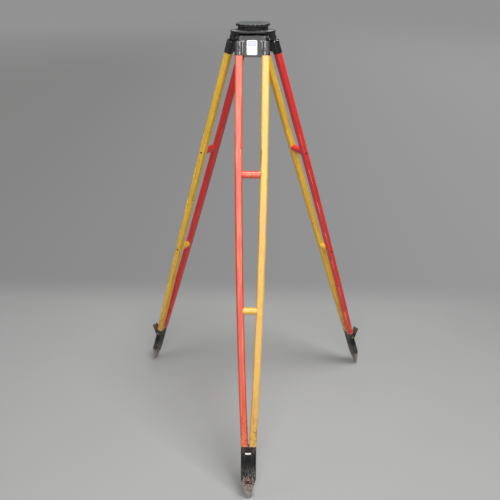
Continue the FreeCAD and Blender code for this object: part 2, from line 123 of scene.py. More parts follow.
# Colours, linear. A pair is the two ends of a mottled blend.
# The two paler paints, used on the outward face, are partly sun fading and partly a painted sheen of
# the front light
RED = {
    "base": (0.62, 0.018, 0.02),
    "deep": (0.47, 0.010, 0.013),
    "sunned_and_sheen": (0.63, 0.070, 0.034),
    "faded_and_sheen": (0.70, 0.15, 0.065),
    "scorched": (0.76, 0.13, 0.045),
}
YELLOW = {
    "base": (0.74, 0.46, 0.03),
    "deep": (0.60, 0.32, 0.015),
    "sunned_and_sheen": (0.65, 0.41, 0.055),
    "faded_and_sheen": (0.68, 0.36, 0.10),
    "scorched": (0.42, 0.13, 0.03),
}
WOOD_PORE = (0.30, 0.085, 0.03)
WOOD_DIRT = (0.07, 0.035, 0.02)
BARE_WOOD = ((0.16, 0.075, 0.03), (0.42, 0.24, 0.11))
RUBBED_WOOD = (0.66, 0.50, 0.34)
WOOD_SCUFF = (0.9, 0.8, 0.66)
CAST_BLACK = ((0.0025, 0.0027, 0.003), (0.0085, 0.0088, 0.0098))
CAST_DUST = (0.075, 0.07, 0.062)
CAST_METAL = ((0.22, 0.22, 0.225), (0.5, 0.5, 0.5))
YOKE_SOIL = (0.11, 0.09, 0.08)
YOKE_METAL = (0.40, 0.40, 0.41)
TURNED_METAL = ((0.2, 0.2, 0.195), (0.33, 0.33, 0.32))
RUST = ((0.035, 0.014, 0.009), (0.14, 0.055, 0.035))
RUST_FLECK = (0.62, 0.52, 0.47)
SHOE_SCRAPE = (0.30, 0.27, 0.245)
SHOE_DUST = (0.12, 0.085, 0.07)
SHOE_SOIL = ((0.06, 0.035, 0.02), (0.25, 0.17, 0.11))
# Light grey of the tread's edge: worn bare metal, and a painted highlight
TREAD_EDGE_WEAR_AND_HIGHLIGHT = (0.38, 0.34, 0.315)
POINT_IRON = ((0.42, 0.38, 0.34), (0.22, 0.175, 0.14))
POINT_STREAK = (0.48, 0.46, 0.43)
POINT_PAINT = (0.02, 0.02, 0.022)
DARK_STEEL = ((0.04, 0.036, 0.033), (0.016, 0.014, 0.013))
DULL_BRASS = ((0.58, 0.40, 0.14), (0.22, 0.14, 0.05))
RIVET_PAINT = ((0.03, 0.03, 0.032), (0.09, 0.085, 0.08))
THREAD_METAL = ((0.34, 0.33, 0.31), (0.16, 0.15, 0.14))
CAP_BLACK = ((0.005, 0.0058, 0.0055), (0.011, 0.0125, 0.0115))
CAP_SCRATCH = (0.15, 0.165, 0.155)
# Pale grey of the cap's top: a dusty bloom, and a painted reflection of the light
CAP_BLOOM_AND_SHEEN = (0.19, 0.21, 0.19)
CAP_RUBBED = (0.15, 0.155, 0.15)
LABEL_WHITE = (0.66, 0.66, 0.65)
LABEL_STAIN = (0.50, 0.47, 0.41)
LABEL_FIELD = (0.38, 0.39, 0.44)
LABEL_LINE = (0.2, 0.21, 0.25)
OILED_FIBRE = ((0.10, 0.05, 0.025), (0.24, 0.13, 0.07))
FLOOR_PAPER = ((0.325, 0.325, 0.323), (0.365, 0.365, 0.363))
# Painted light: grey of the glowing backdrop, darker at its left end and lighter at its right
PAINTED_BACKDROP_GLOW = ((0.225, 0.225, 0.223), (0.335, 0.335, 0.338))
SKY_LEVEL = 0.29

# The camera and the floor
CAMERA_PLACE = (0.0671, -2.0574, 1.6974)
CAMERA_YAW = math.radians(2.19)
CAMERA_DOWN = math.radians(26.07)
CAMERA_ROLL = math.radians(-0.16)
CAMERA_LENS = 44.31
CAMERA_SENSOR = 36.0
FLOOR_HALF = 60.0
FLOOR_ENDS_BEHIND = (0.72, 1.05)   # where the lit floor turns into the backdrop, a glowing emission of painted light
FLOOR_ENDS_ROUND = (2.5, 6.0)
# Where the painted glow runs from its darker left to its lighter right, and where it fades into the
# sky's grey
PAINTED_GLOW_ACROSS = (-3.5, 3.5)
PAINTED_GLOW_ENDS = (7.0, 16.0)

# Name, place, target, size and watts of each light
LIGHTS = (
    ("overhead", (0.45, -0.4, 3.4), (0, 0, 0.6), (0.8, 0.8), 84),
    ("front_high_softbox", (0.35, -3.7, 3.0), (0, 0, 1.2), (3.0, 1.9), 84),
    ("front_low_softbox", (0.35, -3.7, 1.15), (0, 0, 0.8), (3.0, 1.9), 30),
    ("side_fill", (-3.0, -1.2, 2.0), (0, 0, 0.8), (1.6, 1.6), 14),
)


def leg_matrix(leg):
    """The leg's own frame, placed in the object's: X along its hinge, Y inwards, Z up the leg."""
    joint = next(j for j in frame["joints"] if j["name"] == "leg_" + leg + "_hinge")
    x = -Vector(joint["axis"])
    z = Matrix.Rotation(-LEG_TILT, 3, x) @ Vector((0, 0, 1))
    y = z.cross(x)
    turn = Matrix((x, y, z)).transposed().to_4x4()
    return Matrix.Translation(Vector(joint["pos_m"])) @ turn


# ---- meshes

def new_object(name, data):
    """A new object in the scene, of a mesh, a light or a camera."""
    obj = bpy.data.objects.new(name, data)
    bpy.context.collection.objects.link(obj)
    return obj


def applied(obj):
    """Replace an object's mesh by what its modifiers make of it."""
    depsgraph = bpy.context.evaluated_depsgraph_get()
    mesh = bpy.data.meshes.new_from_object(obj.evaluated_get(depsgraph))
    obj.modifiers.clear()
    obj.data = mesh


def stands_for(obj, body, slot, material, *nodes):
    """Make a piece ride on its body in place of CAD nodes."""
    obj.data.materials.clear()
    obj.data.materials.append(material)
    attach(obj, body)
    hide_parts(*nodes)


def closed_copy(node, cut_above=None):
    """The mesh of a CAD node as one closed skin, cut off level at a height if one is given."""
    bm = bmesh.new()
    bm.from_mesh(frame["nodes"][node].data)
    bmesh.ops.remove_doubles(bm, verts=bm.verts, dist=MERGE_DISTANCE)
    if cut_above is not None:
        everything = bm.verts[:] + bm.edges[:] + bm.faces[:]
        cut = bmesh.ops.bisect_plane(
            bm, geom=everything, plane_co=(0, 0, cut_above), plane_no=(0, 0, 1), clear_outer=True)
        rim = [item for item in cut["geom_cut"] if isinstance(item, bmesh.types.BMEdge)]
        bmesh.ops.triangle_fill(bm, edges=rim, use_beauty=True)
    mesh = bpy.data.meshes.new(node + "_cast")
    bm.to_mesh(mesh)
    bm.free()
    return mesh


def neighbour_mean(mesh, values):
    """For each vertex, the mean of the values at the vertices that it shares an edge with."""
    ends = np.empty(2 * len(mesh.edges), dtype=np.int64)
    mesh.edges.foreach_get("vertices", ends)
    one, two = ends[0::2], ends[1::2]
    total = np.zeros_like(values)
    np.add.at(total, one, values[two])
    np.add.at(total, two, values[one])
    count = np.bincount(ends, minlength=len(values)).astype(float)
    if values.ndim == 2:
        count = count[:, None]
    return total / np.maximum(count, 1)


def vertex_data(mesh):
    """Every vertex's place and normal."""
    count = len(mesh.vertices)
    places = np.empty(3 * count)
    normals = np.empty(3 * count)
    mesh.vertices.foreach_get("co", places)
    mesh.vertex_normals.foreach_get("vector", normals)
    return places.reshape(-1, 3), normals.reshape(-1, 3)


def store_wear(mesh, least, full, rounds=2):
    """Keep how far each vertex stands out on an edge, 0 to 1, as the attribute that paint wears by."""
    places, normals = vertex_data(mesh)
    proud = np.einsum("ij,ij->i", places - neighbour_mean(mesh, places), normals)
    wear = np.clip((proud - least) / (full - least), 0.0, 1.0)
    for _ in range(rounds):
        wear = 0.5 * wear + 0.5 * neighbour_mean(mesh, wear)
    attribute = mesh.attributes.new("wear", "FLOAT", "POINT")
    attribute.data.foreach_set("value", np.clip(wear * WEAR_GAIN, 0.0, 1.0))


def roughen(mesh, space, rib=None):
    """Give a casting its uneven skin, and a yoke the moulding seams down its sockets."""
    places, normals = vertex_data(mesh)
    to_space = space.inverted()
    for index in range(len(places)):
        place = Vector(places[index])
        push = SKIN_DEPTH * noise.fractal(place / SKIN_GRAIN, 0.6, 2.0, 3)
        if rib is not None:
            push += rib(to_space @ place)
        places[index] += push * normals[index]
    mesh.vertices.foreach_set("co", places.ravel())
    mesh.update()


def casting(node, voxel, space, rib=None, cut_above=None):
    """A CAD casting with soft edges and a cast skin."""
    obj = new_object(node + "_skin", closed_copy(node, cut_above))
    remesh = obj.modifiers.new("remesh", "REMESH")
    remesh.mode = "VOXEL"
    remesh.voxel_size = voxel
    soften = obj.modifiers.new("soften", "SMOOTH")
    soften.factor = 0.5
    soften.iterations = SMOOTHING_ROUNDS
    applied(obj)
    roughen(obj.data, space, rib)
    store_wear(obj.data, WEAR_LEAST, WEAR_FULL)
    obj.data.polygons.foreach_set("use_smooth", [True] * len(obj.data.polygons))
    return obj


def seam(place):
    """Height of the seam down the outer face of each socket, in a leg's frame."""
    outside = place.y < -SOCKET_FACE + 1.5 * MM
    if not outside or not SOCKET_TOP + 3 * MM < -place.z < SOCKET_BOTTOM:
        return 0.0
    aside = abs(abs(place.x) - SEAM_ASIDE)
    return SEAM_HEIGHT * max(0.0, 1 - aside / SEAM_HALF_WIDE)


def spun(name, rows, steps):
    """A closed skin of revolution about Z. rows give (radius, height) at each angle; a row of
    radius 0 is a pole."""
    points = []
    rings = []
    for row in rows:
        if row(0.0)[0] < 1e-9:
            rings.append([len(points)])
            points.append((0.0, 0.0, row(0.0)[1]))
            continue
        rings.append(list(range(len(points), len(points) + steps)))
        for index in range(steps):
            angle = 2 * math.pi * index / steps
            radius, height = row(angle)
            points.append((radius * math.cos(angle), radius * math.sin(angle), height))
    faces = []
    for upper, lower in zip(rings, rings[1:] + rings[:1]):
        if len(upper) == len(lower) == 1:
            continue
        for index in range(steps):
            after = (index + 1) % steps
            if len(upper) == 1:
                faces.append((upper[0], lower[index], lower[after]))
            elif len(lower) == 1:
                faces.append((upper[after], upper[index], lower[0]))
            else:
                faces.append((upper[index], lower[index], lower[after], upper[after]))
    mesh = bpy.data.meshes.new(name)
    mesh.from_pydata(points, [], faces)
    mesh.polygons.foreach_set("use_smooth", [True] * len(faces))
    return new_object(name, mesh)


def plain_row(radius, height):
    """A round ring for spun."""
    return lambda angle: (radius, height)


def helix_depth(angle, height):
    """0 on a thread's crest and 1 in its root, for a right-handed thread."""
    phase = (height / THREAD_PITCH - angle / (2 * math.pi)) % 1.0
    return min(1.0, max(0.0, 3.0 * abs(phase - 0.5) - 0.25))


def thread_row(radius, depth, height):
    """A ring that a thread passes through. A negative depth stands a thread into a bore."""
    return lambda angle: (radius - depth * helix_depth(angle, height), height)


def instrument_thread():
    """The thread that stands on the plate, with the upper part of the well inside it."""
    foot = PLATE_TOP - 0.5 * MM
    low = PLATE_TOP + 1.2 * MM
    high = THREAD_TOP - 0.5 * MM
    rows = [plain_row(WELL_RADIUS, foot)]
    rows.append(plain_row(THREAD_RADIUS - THREAD_DEPTH, foot))
    for index in range(THREAD_RINGS + 1):
        height = low + (high - low) * index / THREAD_RINGS
        rows.append(thread_row(THREAD_RADIUS, THREAD_DEPTH, height))
    rows.append(plain_row(THREAD_RADIUS - THREAD_DEPTH, THREAD_TOP))
    rows.append(plain_row(WELL_RADIUS + 0.6 * MM, THREAD_TOP))
    rows.append(plain_row(WELL_RADIUS, THREAD_TOP - 0.6 * MM))
    return spun("instrument_thread", rows[::-1], THREAD_STEPS)


def scallop(angle):
    """Depth of the grip dips round the cap's flange, 0 to 1."""
    wave = 0.5 + 0.5 * math.cos(SCALLOPS * angle)
    return wave ** 1.4


def flute(angle):
    """Depth of the fine flutes round the cap's skirt, 0 to 1."""
    wave = 0.5 - 0.5 * math.cos(FLUTES * angle)
    return wave ** 4


def grip_row(radius, height, dip=1.0):
    """A ring of the scalloped flange."""
    return lambda angle: (radius - dip * SCALLOP_DEPTH * scallop(angle), height)


def fluted_row(radius, height):
    """A ring of the fluted skirt."""
    return lambda angle: (radius - FLUTE_DEPTH * flute(angle), height)


def screw_cap():
    """The cap: a scalloped flange over a fluted skirt, hollow, with its thread inside."""
    rows = [plain_row(0.0, CAP_TOP)]
    for radius, drop in CAP_FACE:
        rows.append(plain_row(radius * MM, CAP_TOP - drop * MM))
    rows.append(grip_row(FLANGE_RADIUS - 3.4 * MM, CAP_TOP, 0.3))
    for turn in range(5):
        angle = math.radians(22.5 * turn)
        radius = FLANGE_RADIUS - RIM_ROUND * (1 - math.sin(angle))
        rows.append(grip_row(radius, CAP_TOP - RIM_ROUND * (1 - math.cos(angle))))
    rows.append(grip_row(FLANGE_RADIUS, CAP_TOP - 4 * MM))
    rows.append(grip_row(FLANGE_RADIUS, FLANGE_BOTTOM + 0.8 * MM))
    rows.append(grip_row(FLANGE_RADIUS - 0.8 * MM, FLANGE_BOTTOM, 0.9))
    rows.append(plain_row(SKIRT_RADIUS + 1.2 * MM, FLANGE_BOTTOM))
    rows.append(fluted_row(SKIRT_RADIUS, FLANGE_BOTTOM - 1.0 * MM))
    for drop in (3.0, 5.5, 8.0):
        rows.append(fluted_row(SKIRT_RADIUS, FLANGE_BOTTOM - drop * MM))
    rows.append(fluted_row(SKIRT_RADIUS, SKIRT_BOTTOM + 0.6 * MM))
    rows.append(plain_row(SKIRT_RADIUS - 0.8 * MM, SKIRT_BOTTOM))
    rows.append(plain_row(CAP_BORE + 0.9 * MM, SKIRT_BOTTOM))
    low = SKIRT_BOTTOM + 1.0 * MM
    high = CAP_TOP - CAP_WALL - 1.5 * MM
    for index in range(CAP_THREAD_RINGS + 1):
        height = low + (high - low) * index / CAP_THREAD_RINGS
        rows.append(thread_row(CAP_BORE, -CAP_THREAD_DEPTH, height))
    rows.append(plain_row(CAP_BORE, CAP_TOP - CAP_WALL))
    rows.append(plain_row(0.0, CAP_TOP - CAP_WALL))
    obj = spun("screw_cap", rows, CAP_STEPS)
    store_wear(obj.data, CAP_WEAR_LEAST, CAP_WEAR_FULL, 1)
    return obj


# ---- materials: small helpers over Blender's shader nodes

class Shader:
    """A node material under construction. Its coordinates are the object's own, in metres, or
    those of the space that it is given. Noise lies between 0 and 1 about a mean of 0.5."""

    def __init__(self, name, space=None):
        self.material = bpy.data.materials.new(name)
        self.material.use_nodes = True
        self.nodes = self.material.node_tree.nodes
        self.links = self.material.node_tree.links
        self.bsdf = self.nodes["Principled BSDF"]
        coords = self.nodes.new("ShaderNodeTexCoord").outputs["Object"]
        if space is not None:
            inverse = space.inverted()
            mapping = self.nodes.new("ShaderNodeMapping")
            mapping.inputs["Rotation"].default_value = inverse.to_euler()
            mapping.inputs["Location"].default_value = inverse.to_translation()
            self.links.new(coords, mapping.inputs["Vector"])
            coords = mapping.outputs["Vector"]
        self.coords = coords

    def put(self, value, socket):
        """Feed a socket from another one, or set its value."""
        if isinstance(value, bpy.types.NodeSocket):
            self.links.new(value, socket)
        else:
            socket.default_value = value

    def stretch(self, scale):
        node = self.nodes.new("ShaderNodeVectorMath")
        node.operation = "MULTIPLY"
        self.links.new(self.coords, node.inputs[0])
        node.inputs[1].default_value = scale
        return node.outputs["Vector"]

    def noise(self, scale, detail=4.0, rough=0.55, distortion=0.0):
        """Noise of 0 to 1. scale is a number, or three for a grain that runs along one axis."""
        node = self.nodes.new("ShaderNodeTexNoise")
        if isinstance(scale, (int, float)):
            scale = (scale, scale, scale)
        self.links.new(self.stretch(scale), node.inputs["Vector"])
        node.inputs["Scale"].default_value = 1.0
        node.inputs["Detail"].default_value = detail
        node.inputs["Roughness"].default_value = rough
        node.inputs["Distortion"].default_value = distortion
        return node.outputs["Fac"]

    def math(self, operation, a, b=0.0, c=0.0):
        node = self.nodes.new("ShaderNodeMath")
        node.operation = operation
        for value, socket in zip((a, b, c), node.inputs):
            self.put(value, socket)
        return node.outputs[0]

    def times(self, a, b):
        return self.math("MULTIPLY", a, b)

    def times_plus(self, a, b, c):
        """a times b, plus c."""
        return self.math("MULTIPLY_ADD", a, b, c)

    def plus(self, a, b):
        return self.math("ADD", a, b)

    def minus(self, a, b):
        return self.math("SUBTRACT", a, b)

    def over(self, a, b):
        return self.math("DIVIDE", a, b)

    def larger(self, a, b):
        return self.math("MAXIMUM", a, b)

    def size(self, a):
        return self.math("ABSOLUTE", a)

    def step(self, value, low, high):
        """0 below low and 1 above high, smooth between them; falling if low is above high."""
        node = self.nodes.new("ShaderNodeMapRange")
        node.interpolation_type = "SMOOTHSTEP"
        self.put(value, node.inputs["Value"])
        if low < high:
            limits = (low, high, 0.0, 1.0)
        else:
            limits = (high, low, 1.0, 0.0)
        for name, limit in zip(("From Min", "From Max", "To Min", "To Max"), limits):
            node.inputs[name].default_value = limit
        return node.outputs["Result"]

    def blend(self, factor, a, b):
        """Colour a where factor is 0 and colour b where it is 1."""
        node = self.nodes.new("ShaderNodeMix")
        node.data_type = "RGBA"
        self.put(factor, node.inputs["Factor"])
        for value, socket in ((a, node.inputs["A"]), (b, node.inputs["B"])):
            if isinstance(value, tuple) and len(value) == 3:
                value = value + (1.0,)
            self.put(value, socket)
        return node.outputs["Result"]

    def covered(self, color, mask, amount, other):
        """A colour with another laid over it where mask is 1, as thickly as amount says."""
        return self.blend(self.times(mask, amount), color, other)

    def axis(self, name):
        node = self.nodes.new("ShaderNodeSeparateXYZ")
        self.links.new(self.coords, node.inputs["Vector"])
        return node.outputs[name]

    def attribute(self, name):
        node = self.nodes.new("ShaderNodeAttribute")
        node.attribute_name = name
        return node.outputs["Fac"]

    def bump(self, height, distance, strength):
        """Add relief on top of the relief that is there already."""
        node = self.nodes.new("ShaderNodeBump")
        node.inputs["Strength"].default_value = strength
        node.inputs["Distance"].default_value = distance
        self.put(height, node.inputs["Height"])
        if self.bsdf.inputs["Normal"].links:
            self.links.new(self.bsdf.inputs["Normal"].links[0].from_socket, node.inputs["Normal"])
        self.links.new(node.outputs["Normal"], self.bsdf.inputs["Normal"])

    def finish(self, color, rough, metal=0.0, specular=None):
        """Connect the surface's looks and give the material."""
        self.put(color, self.bsdf.inputs["Base Color"])
        self.put(rough, self.bsdf.inputs["Roughness"])
        self.put(metal, self.bsdf.inputs["Metallic"])
        if specular is not None:
            self.bsdf.inputs["Specular IOR Level"].default_value = specular
        return self.material


def stave_edge_mask(s):
    """1 on the rounded long edges of a stave and 0 on its flats, and the way down the leg."""
    down = s.times(s.axis("Z"), -1.0)
    below = s.larger(s.minus(down, STAVE_STRAIGHT), 0.0)
    sag = s.over(s.times(below, below), 2 * STAVE_BEND)
    centre = s.minus(STAVE_SPACING, sag)
    aside = s.size(s.minus(s.size(s.axis("X")), centre))
    across = s.over(aside, STAVE_HALF_WIDE)
    deep = s.over(s.size(s.axis("Y")), STAVE_HALF_DEEP)
    corner = s.times(across, deep)
    return s.step(corner, 0.55, 0.82), down


def painted_wood(name, leg, paint):
    """Gloss paint over wood: grain that shows through, an outward face made paler by sun fading and a
    painted sheen of the front light, scuffs and chips.
    """
    s = Shader(name, leg_matrix(leg))
    edge, down = stave_edge_mask(s)
    outer = s.step(s.axis("Y"), -0.45 * STAVE_HALF_DEEP, -0.95 * STAVE_HALF_DEEP)
    near_shoe = s.step(down, *SHOE_WEAR)
    near_top = s.step(down, *TOP_WEAR)
    tired = s.larger(near_shoe, near_top)

    grain = s.noise((420, 420, 9), 6.0, 0.6, 0.4)
    fibre = s.noise((1500, 1500, 30), 3.0, 0.6)
    patch = s.noise((110, 110, 8), 4.0, 0.6)
    drift = s.noise((17, 17, 3.4), 2.0, 0.5)
    speck = s.noise((260, 260, 140), 5.0, 0.65)

    color = s.blend(s.step(grain, 0.3, 0.66), paint["deep"], paint["base"])
    color = s.covered(color, s.step(patch, 0.5, 0.75), 0.25, paint["faded_and_sheen"])
    # Outward face paler: partly sun-faded paint, partly a painted reflection of the front light
    sunned_face_and_sheen = s.blend(s.step(patch, 0.44, 0.62), paint["sunned_and_sheen"], paint["faded_and_sheen"])
    color = s.blend(s.times(outer, s.step(grain, 0.2, 0.5)), color, sunned_face_and_sheen)
    color = s.covered(color, s.step(drift, 0.5, 0.75), 0.35, paint["deep"])
    pore = s.step(s.noise((330, 330, 60), 4.0, 0.7), 0.52, 0.66)
    color = s.covered(color, pore, 0.34, WOOD_PORE)
    burnt = s.times(near_shoe, s.step(s.noise((90, 90, 20), 5.0, 0.65), 0.47, 0.57))
    color = s.covered(color, burnt, 0.65, paint["scorched"])

    dirt_limit = s.times_plus(near_shoe, -0.15, 0.70)
    dirt = s.step(s.minus(speck, dirt_limit), 0.0, 0.05)
    color = s.covered(color, dirt, 0.75, WOOD_DIRT)
    chip_noise = s.noise((210, 210, 55), 5.0, 0.7)
    chip_push = s.times_plus(edge, 0.14, s.times(tired, 0.05))
    chip = s.step(s.plus(chip_noise, chip_push), 0.765, 0.79)
    wood = s.blend(grain, *BARE_WOOD)
    color = s.blend(chip, color, wood)
    end = s.step(down, SHOE_TOP - 5 * MM, SHOE_TOP - 1.5 * MM)
    rubbed = s.times(end, s.step(s.noise(150, 4.0, 0.7), 0.44, 0.54))
    color = s.covered(color, rubbed, 0.7, RUBBED_WOOD)
    scuff = s.step(s.noise((180, 180, 900), 3.0, 0.7), 0.66, 0.74)
    color = s.covered(color, scuff, 0.25, WOOD_SCUFF)

    rough = s.times_plus(s.step(grain, 0.2, 0.8), 0.12, 0.26)
    rough = s.plus(rough, s.times(s.larger(chip, dirt), 0.35))
    relief = s.times_plus(chip, -0.9, s.times_plus(fibre, 0.25, grain))
    s.bump(relief, 0.35 * MM, 0.7)
    s.bump(patch, 1.2 * MM, 0.4)
    s.bsdf.inputs["Coat Weight"].default_value = 0.3
    s.bsdf.inputs["Coat Roughness"].default_value = 0.2
    return s.finish(color, rough, specular=0.5)


def cast_paint(s, rub_gain):
    """Semi-gloss black paint on a sand casting, rubbed to bare metal where it stands out. Gives
    its colour, its roughness and how metallic it is."""
    mottle = s.noise(55, 5.0, 0.6)
    fine = s.noise(900, 3.0, 0.6)
    sand = s.noise(330, 4.0, 0.6)
    dust = s.step(s.noise(24, 5.0, 0.65), 0.5, 0.8)
    color = s.blend(mottle, *CAST_BLACK)
    color = s.covered(color, dust, 0.1, CAST_DUST)
    rub = s.times_plus(s.attribute("wear"), rub_gain, s.noise(170, 5.0, 0.7))
    bare = s.step(rub, 0.80, 0.86)
    metal_color = s.blend(s.noise(420, 3.0, 0.6), *CAST_METAL)
    color = s.blend(bare, color, metal_color)
    rough = s.times_plus(mottle, 0.16, 0.27)
    rough = s.times_plus(bare, 0.06, rough)
    s.bump(s.times_plus(fine, 0.3, sand), 0.3 * MM, 0.5)
    s.bump(s.times_plus(bare, -0.5, mottle), 0.5 * MM, 0.4)
    return color, rough, s.times(bare, 0.85)


def yoke_paint(name, leg):
    """The yoke's paint, rubbed bare along each socket's seam, inner corner and shoulder."""
    s = Shader(name, leg_matrix(leg))
    color, rough, metal = cast_paint(s, 0.3)
    aside = s.size(s.axis("X"))
    outer = s.step(s.axis("Y"), *OUTER_FACE)
    seam_line = s.step(s.size(s.minus(aside, SEAM_ASIDE)), 1.3 * MM, 0.6 * MM)
    corner_line = s.step(s.size(s.minus(aside, SOCKET_EDGE)), 1.2 * MM, 0.5 * MM)
    lines = s.larger(seam_line, s.times(corner_line, CORNER_GAIN))
    low = s.step(s.axis("Z"), -SOCKET_TOP + 1 * MM, -SOCKET_TOP - 1 * MM)
    ragged = s.noise((170, 170, 60), 4.0, 0.7)
    broken = s.times(low, s.step(ragged, 0.40, 0.50))
    bare = s.times(s.times(lines, outer), broken)
    beside = s.step(s.size(s.minus(aside, SHOULDER_ASIDE)), 5 * MM, 4 * MM)
    shoulder = s.step(s.size(s.plus(s.axis("Z"), SOCKET_TOP)), 2.2 * MM, 1.4 * MM)
    shoulder = s.times(shoulder, s.times(outer, s.step(ragged, 0.42, 0.54)))
    bare = s.larger(bare, s.times(s.times(beside, shoulder), 0.7))
    soil = s.step(s.noise(75, 5.0, 0.65), 0.38, 0.6)
    soiled = s.times(s.times(soil, s.step(aside, 31 * MM, 35 * MM)), outer)
    color = s.covered(color, soiled, 0.3, YOKE_SOIL)
    color = s.blend(bare, color, YOKE_METAL)
    metal = s.larger(metal, s.times(bare, 0.6))
    return s.finish(color, rough, metal, specular=0.5)


def head_paint():
    """The head's paint, worn to bare metal on the top face, except beside its flats."""
    s = Shader("head_paint")
    color, rough, metal = cast_paint(s, 0.2)
    face = s.step(s.axis("Z"), PLATE_TOP - 0.5 * MM, PLATE_TOP - 0.2 * MM)
    for leg in LEGS:
        outwards = -(leg_matrix(leg).to_3x3() @ Vector((0, 1, 0)))
        outwards.z = 0
        reach = s.nodes.new("ShaderNodeVectorMath")
        reach.operation = "DOT_PRODUCT"
        s.links.new(s.coords, reach.inputs[0])
        reach.inputs[1].default_value = outwards.normalized()
        face = s.times(face, s.step(reach.outputs["Value"], 52 * MM, 47 * MM))
    worn = s.times(face, s.step(s.noise(60, 6.0, 0.7), 0.36, 0.56))
    turned = s.blend(s.noise((900, 900, 20), 3.0, 0.6), *TURNED_METAL)
    color = s.covered(color, worn, 0.85, turned)
    top = s.step(s.axis("Z"), PLATE_TOP - 1.2 * MM, PLATE_TOP - 0.4 * MM)
    rough = s.times_plus(top, 0.4, rough)
    metal = s.larger(metal, s.times(worn, 0.35))
    return s.finish(color, rough, metal, specular=0.35)


def rust_patch(s, down):
    """Rust bleeding from the joint of the shoe and its point, with a few bright flecks in it."""
    along = s.over(s.minus(down, SHOE_BOTTOM + 4 * MM), 22 * MM)
    aside = s.over(s.axis("X"), 21 * MM)
    reach = s.plus(s.times(along, along), s.times(aside, aside))
    ragged = s.times_plus(s.noise(120, 6.0, 0.75), -6.0, s.plus(reach, 3.1))
    mask = s.step(ragged, 0.85, 0.7)
    rust = s.blend(s.noise(300, 4.0, 0.6), *RUST)
    fleck = s.step(s.noise((260, 260, 180), 4.0, 0.7), 0.55, 0.60)
    return mask, s.blend(fleck, rust, RUST_FLECK)


def shoe_paint(name, leg):
    """Black paint with a bright tread edge of worn bare metal and painted highlight, soil behind the
    spur, and scratches towards the point.
    """
    s = Shader(name, leg_matrix(leg))
    color, rough, metal = cast_paint(s, 0.4)
    down = s.times(s.axis("Z"), -1.0)
    out = s.times(s.axis("Y"), -1.0)
    clump = s.noise(110, 6.0, 0.7)
    mask, rust = rust_patch(s, down)
    color = s.blend(mask, color, rust)
    scrape = s.step(s.noise((700, 700, 100), 4.0, 0.7), 0.52, 0.60)
    scraped = s.times(scrape, s.step(down, SHOE_BOTTOM - 60 * MM, SHOE_BOTTOM - 30 * MM))
    color = s.covered(color, scraped, 0.8, SHOE_SCRAPE)
    dusty = s.times(s.step(clump, 0.36, 0.56), s.step(down, *DUST_ENDS))
    dusty = s.times(dusty, s.step(out, 20 * MM, 17 * MM))
    color = s.covered(color, dusty, 0.6, SHOE_DUST)
    rise_out, rise_up = SPUR_RISE
    along = s.minus(s.times(out, rise_out), s.times(down, rise_up))
    across = s.times_plus(out, -rise_up, s.times(down, -rise_out))
    tip = SPUR_OUT * rise_out - SPUR_TOP * rise_up
    inner = -SPUR_OUT * rise_up - SPUR_TOP * rise_out
    spur = s.step(out, SPUR_OUT - 26 * MM, SPUR_OUT - 10 * MM)
    behind = s.times(spur, s.step(across, inner - 2.5 * MM, inner - 0.8 * MM))
    soiled = s.times(behind, s.step(clump, 0.38, 0.5))
    soil = s.blend(clump, *SHOE_SOIL)
    color = s.covered(color, soiled, 0.75, soil)
    # The tread's up-facing edge: worn bare metal, lightened further as a painted highlight of the
    # light falling on it
    crest = s.times(spur, s.step(along, tip - 1.3 * MM, tip - 0.7 * MM))
    ends = s.times_plus(clump, 5 * MM, s.size(s.axis("X")))
    crest = s.times(crest, s.step(ends, 13 * MM, 11.5 * MM))
    color = s.covered(color, crest, 0.95, TREAD_EDGE_WEAR_AND_HIGHLIGHT)
    metal = s.larger(metal, s.times(crest, 0.3))
    crusted = s.larger(soiled, mask)
    rough = s.plus(rough, s.times(crusted, 0.3))
    s.bump(s.times(crusted, clump), 0.8 * MM, 0.6)
    return s.finish(color, s.math("MINIMUM", rough, 1.0), metal, specular=0.3)


def worn_steel(name, leg):
    """The point: bare iron, brown in the pits, with the paint's ragged lower edge."""
    s = Shader(name, leg_matrix(leg))
    down = s.times(s.axis("Z"), -1.0)
    stain = s.noise(70, 6.0, 0.65)
    streak = s.noise((700, 700, 50), 4.0, 0.6)
    color = s.blend(s.step(stain, 0.35, 0.7), *POINT_IRON)
    color = s.covered(color, s.step(streak, 0.5, 0.8), 0.6, POINT_STREAK)
    ragged = s.times_plus(s.minus(s.noise(90, 5.0, 0.7), 0.5), 50 * MM, down)
    paint = s.step(ragged, SHOE_BOTTOM + 4 * MM, SHOE_BOTTOM + 1 * MM)
    color = s.blend(paint, color, POINT_PAINT)
    mask, rust = rust_patch(s, down)
    color = s.blend(mask, color, rust)
    metal = s.times(s.minus(1.0, paint), 0.6)
    rough = s.times_plus(stain, 0.3, 0.32)
    s.bump(s.times_plus(streak, 0.4, stain), 0.5 * MM, 0.7)
    return s.finish(color, rough, metal)


def plain_metal(name, colors, rough_low, metal=1.0):
    """Stained and finely scratched metal, or paint on it. colors is a pair."""
    s = Shader(name)
    stain = s.noise(300, 5.0, 0.65)
    scratch = s.noise((2500, 2500, 180), 3.0, 0.6)
    color = s.blend(s.step(stain, 0.3, 0.7), *colors)
    rough = s.times_plus(stain, 0.3, rough_low)
    s.bump(s.times_plus(scratch, 0.3, stain), 0.2 * MM, 0.5)
    return s.finish(color, rough, metal)


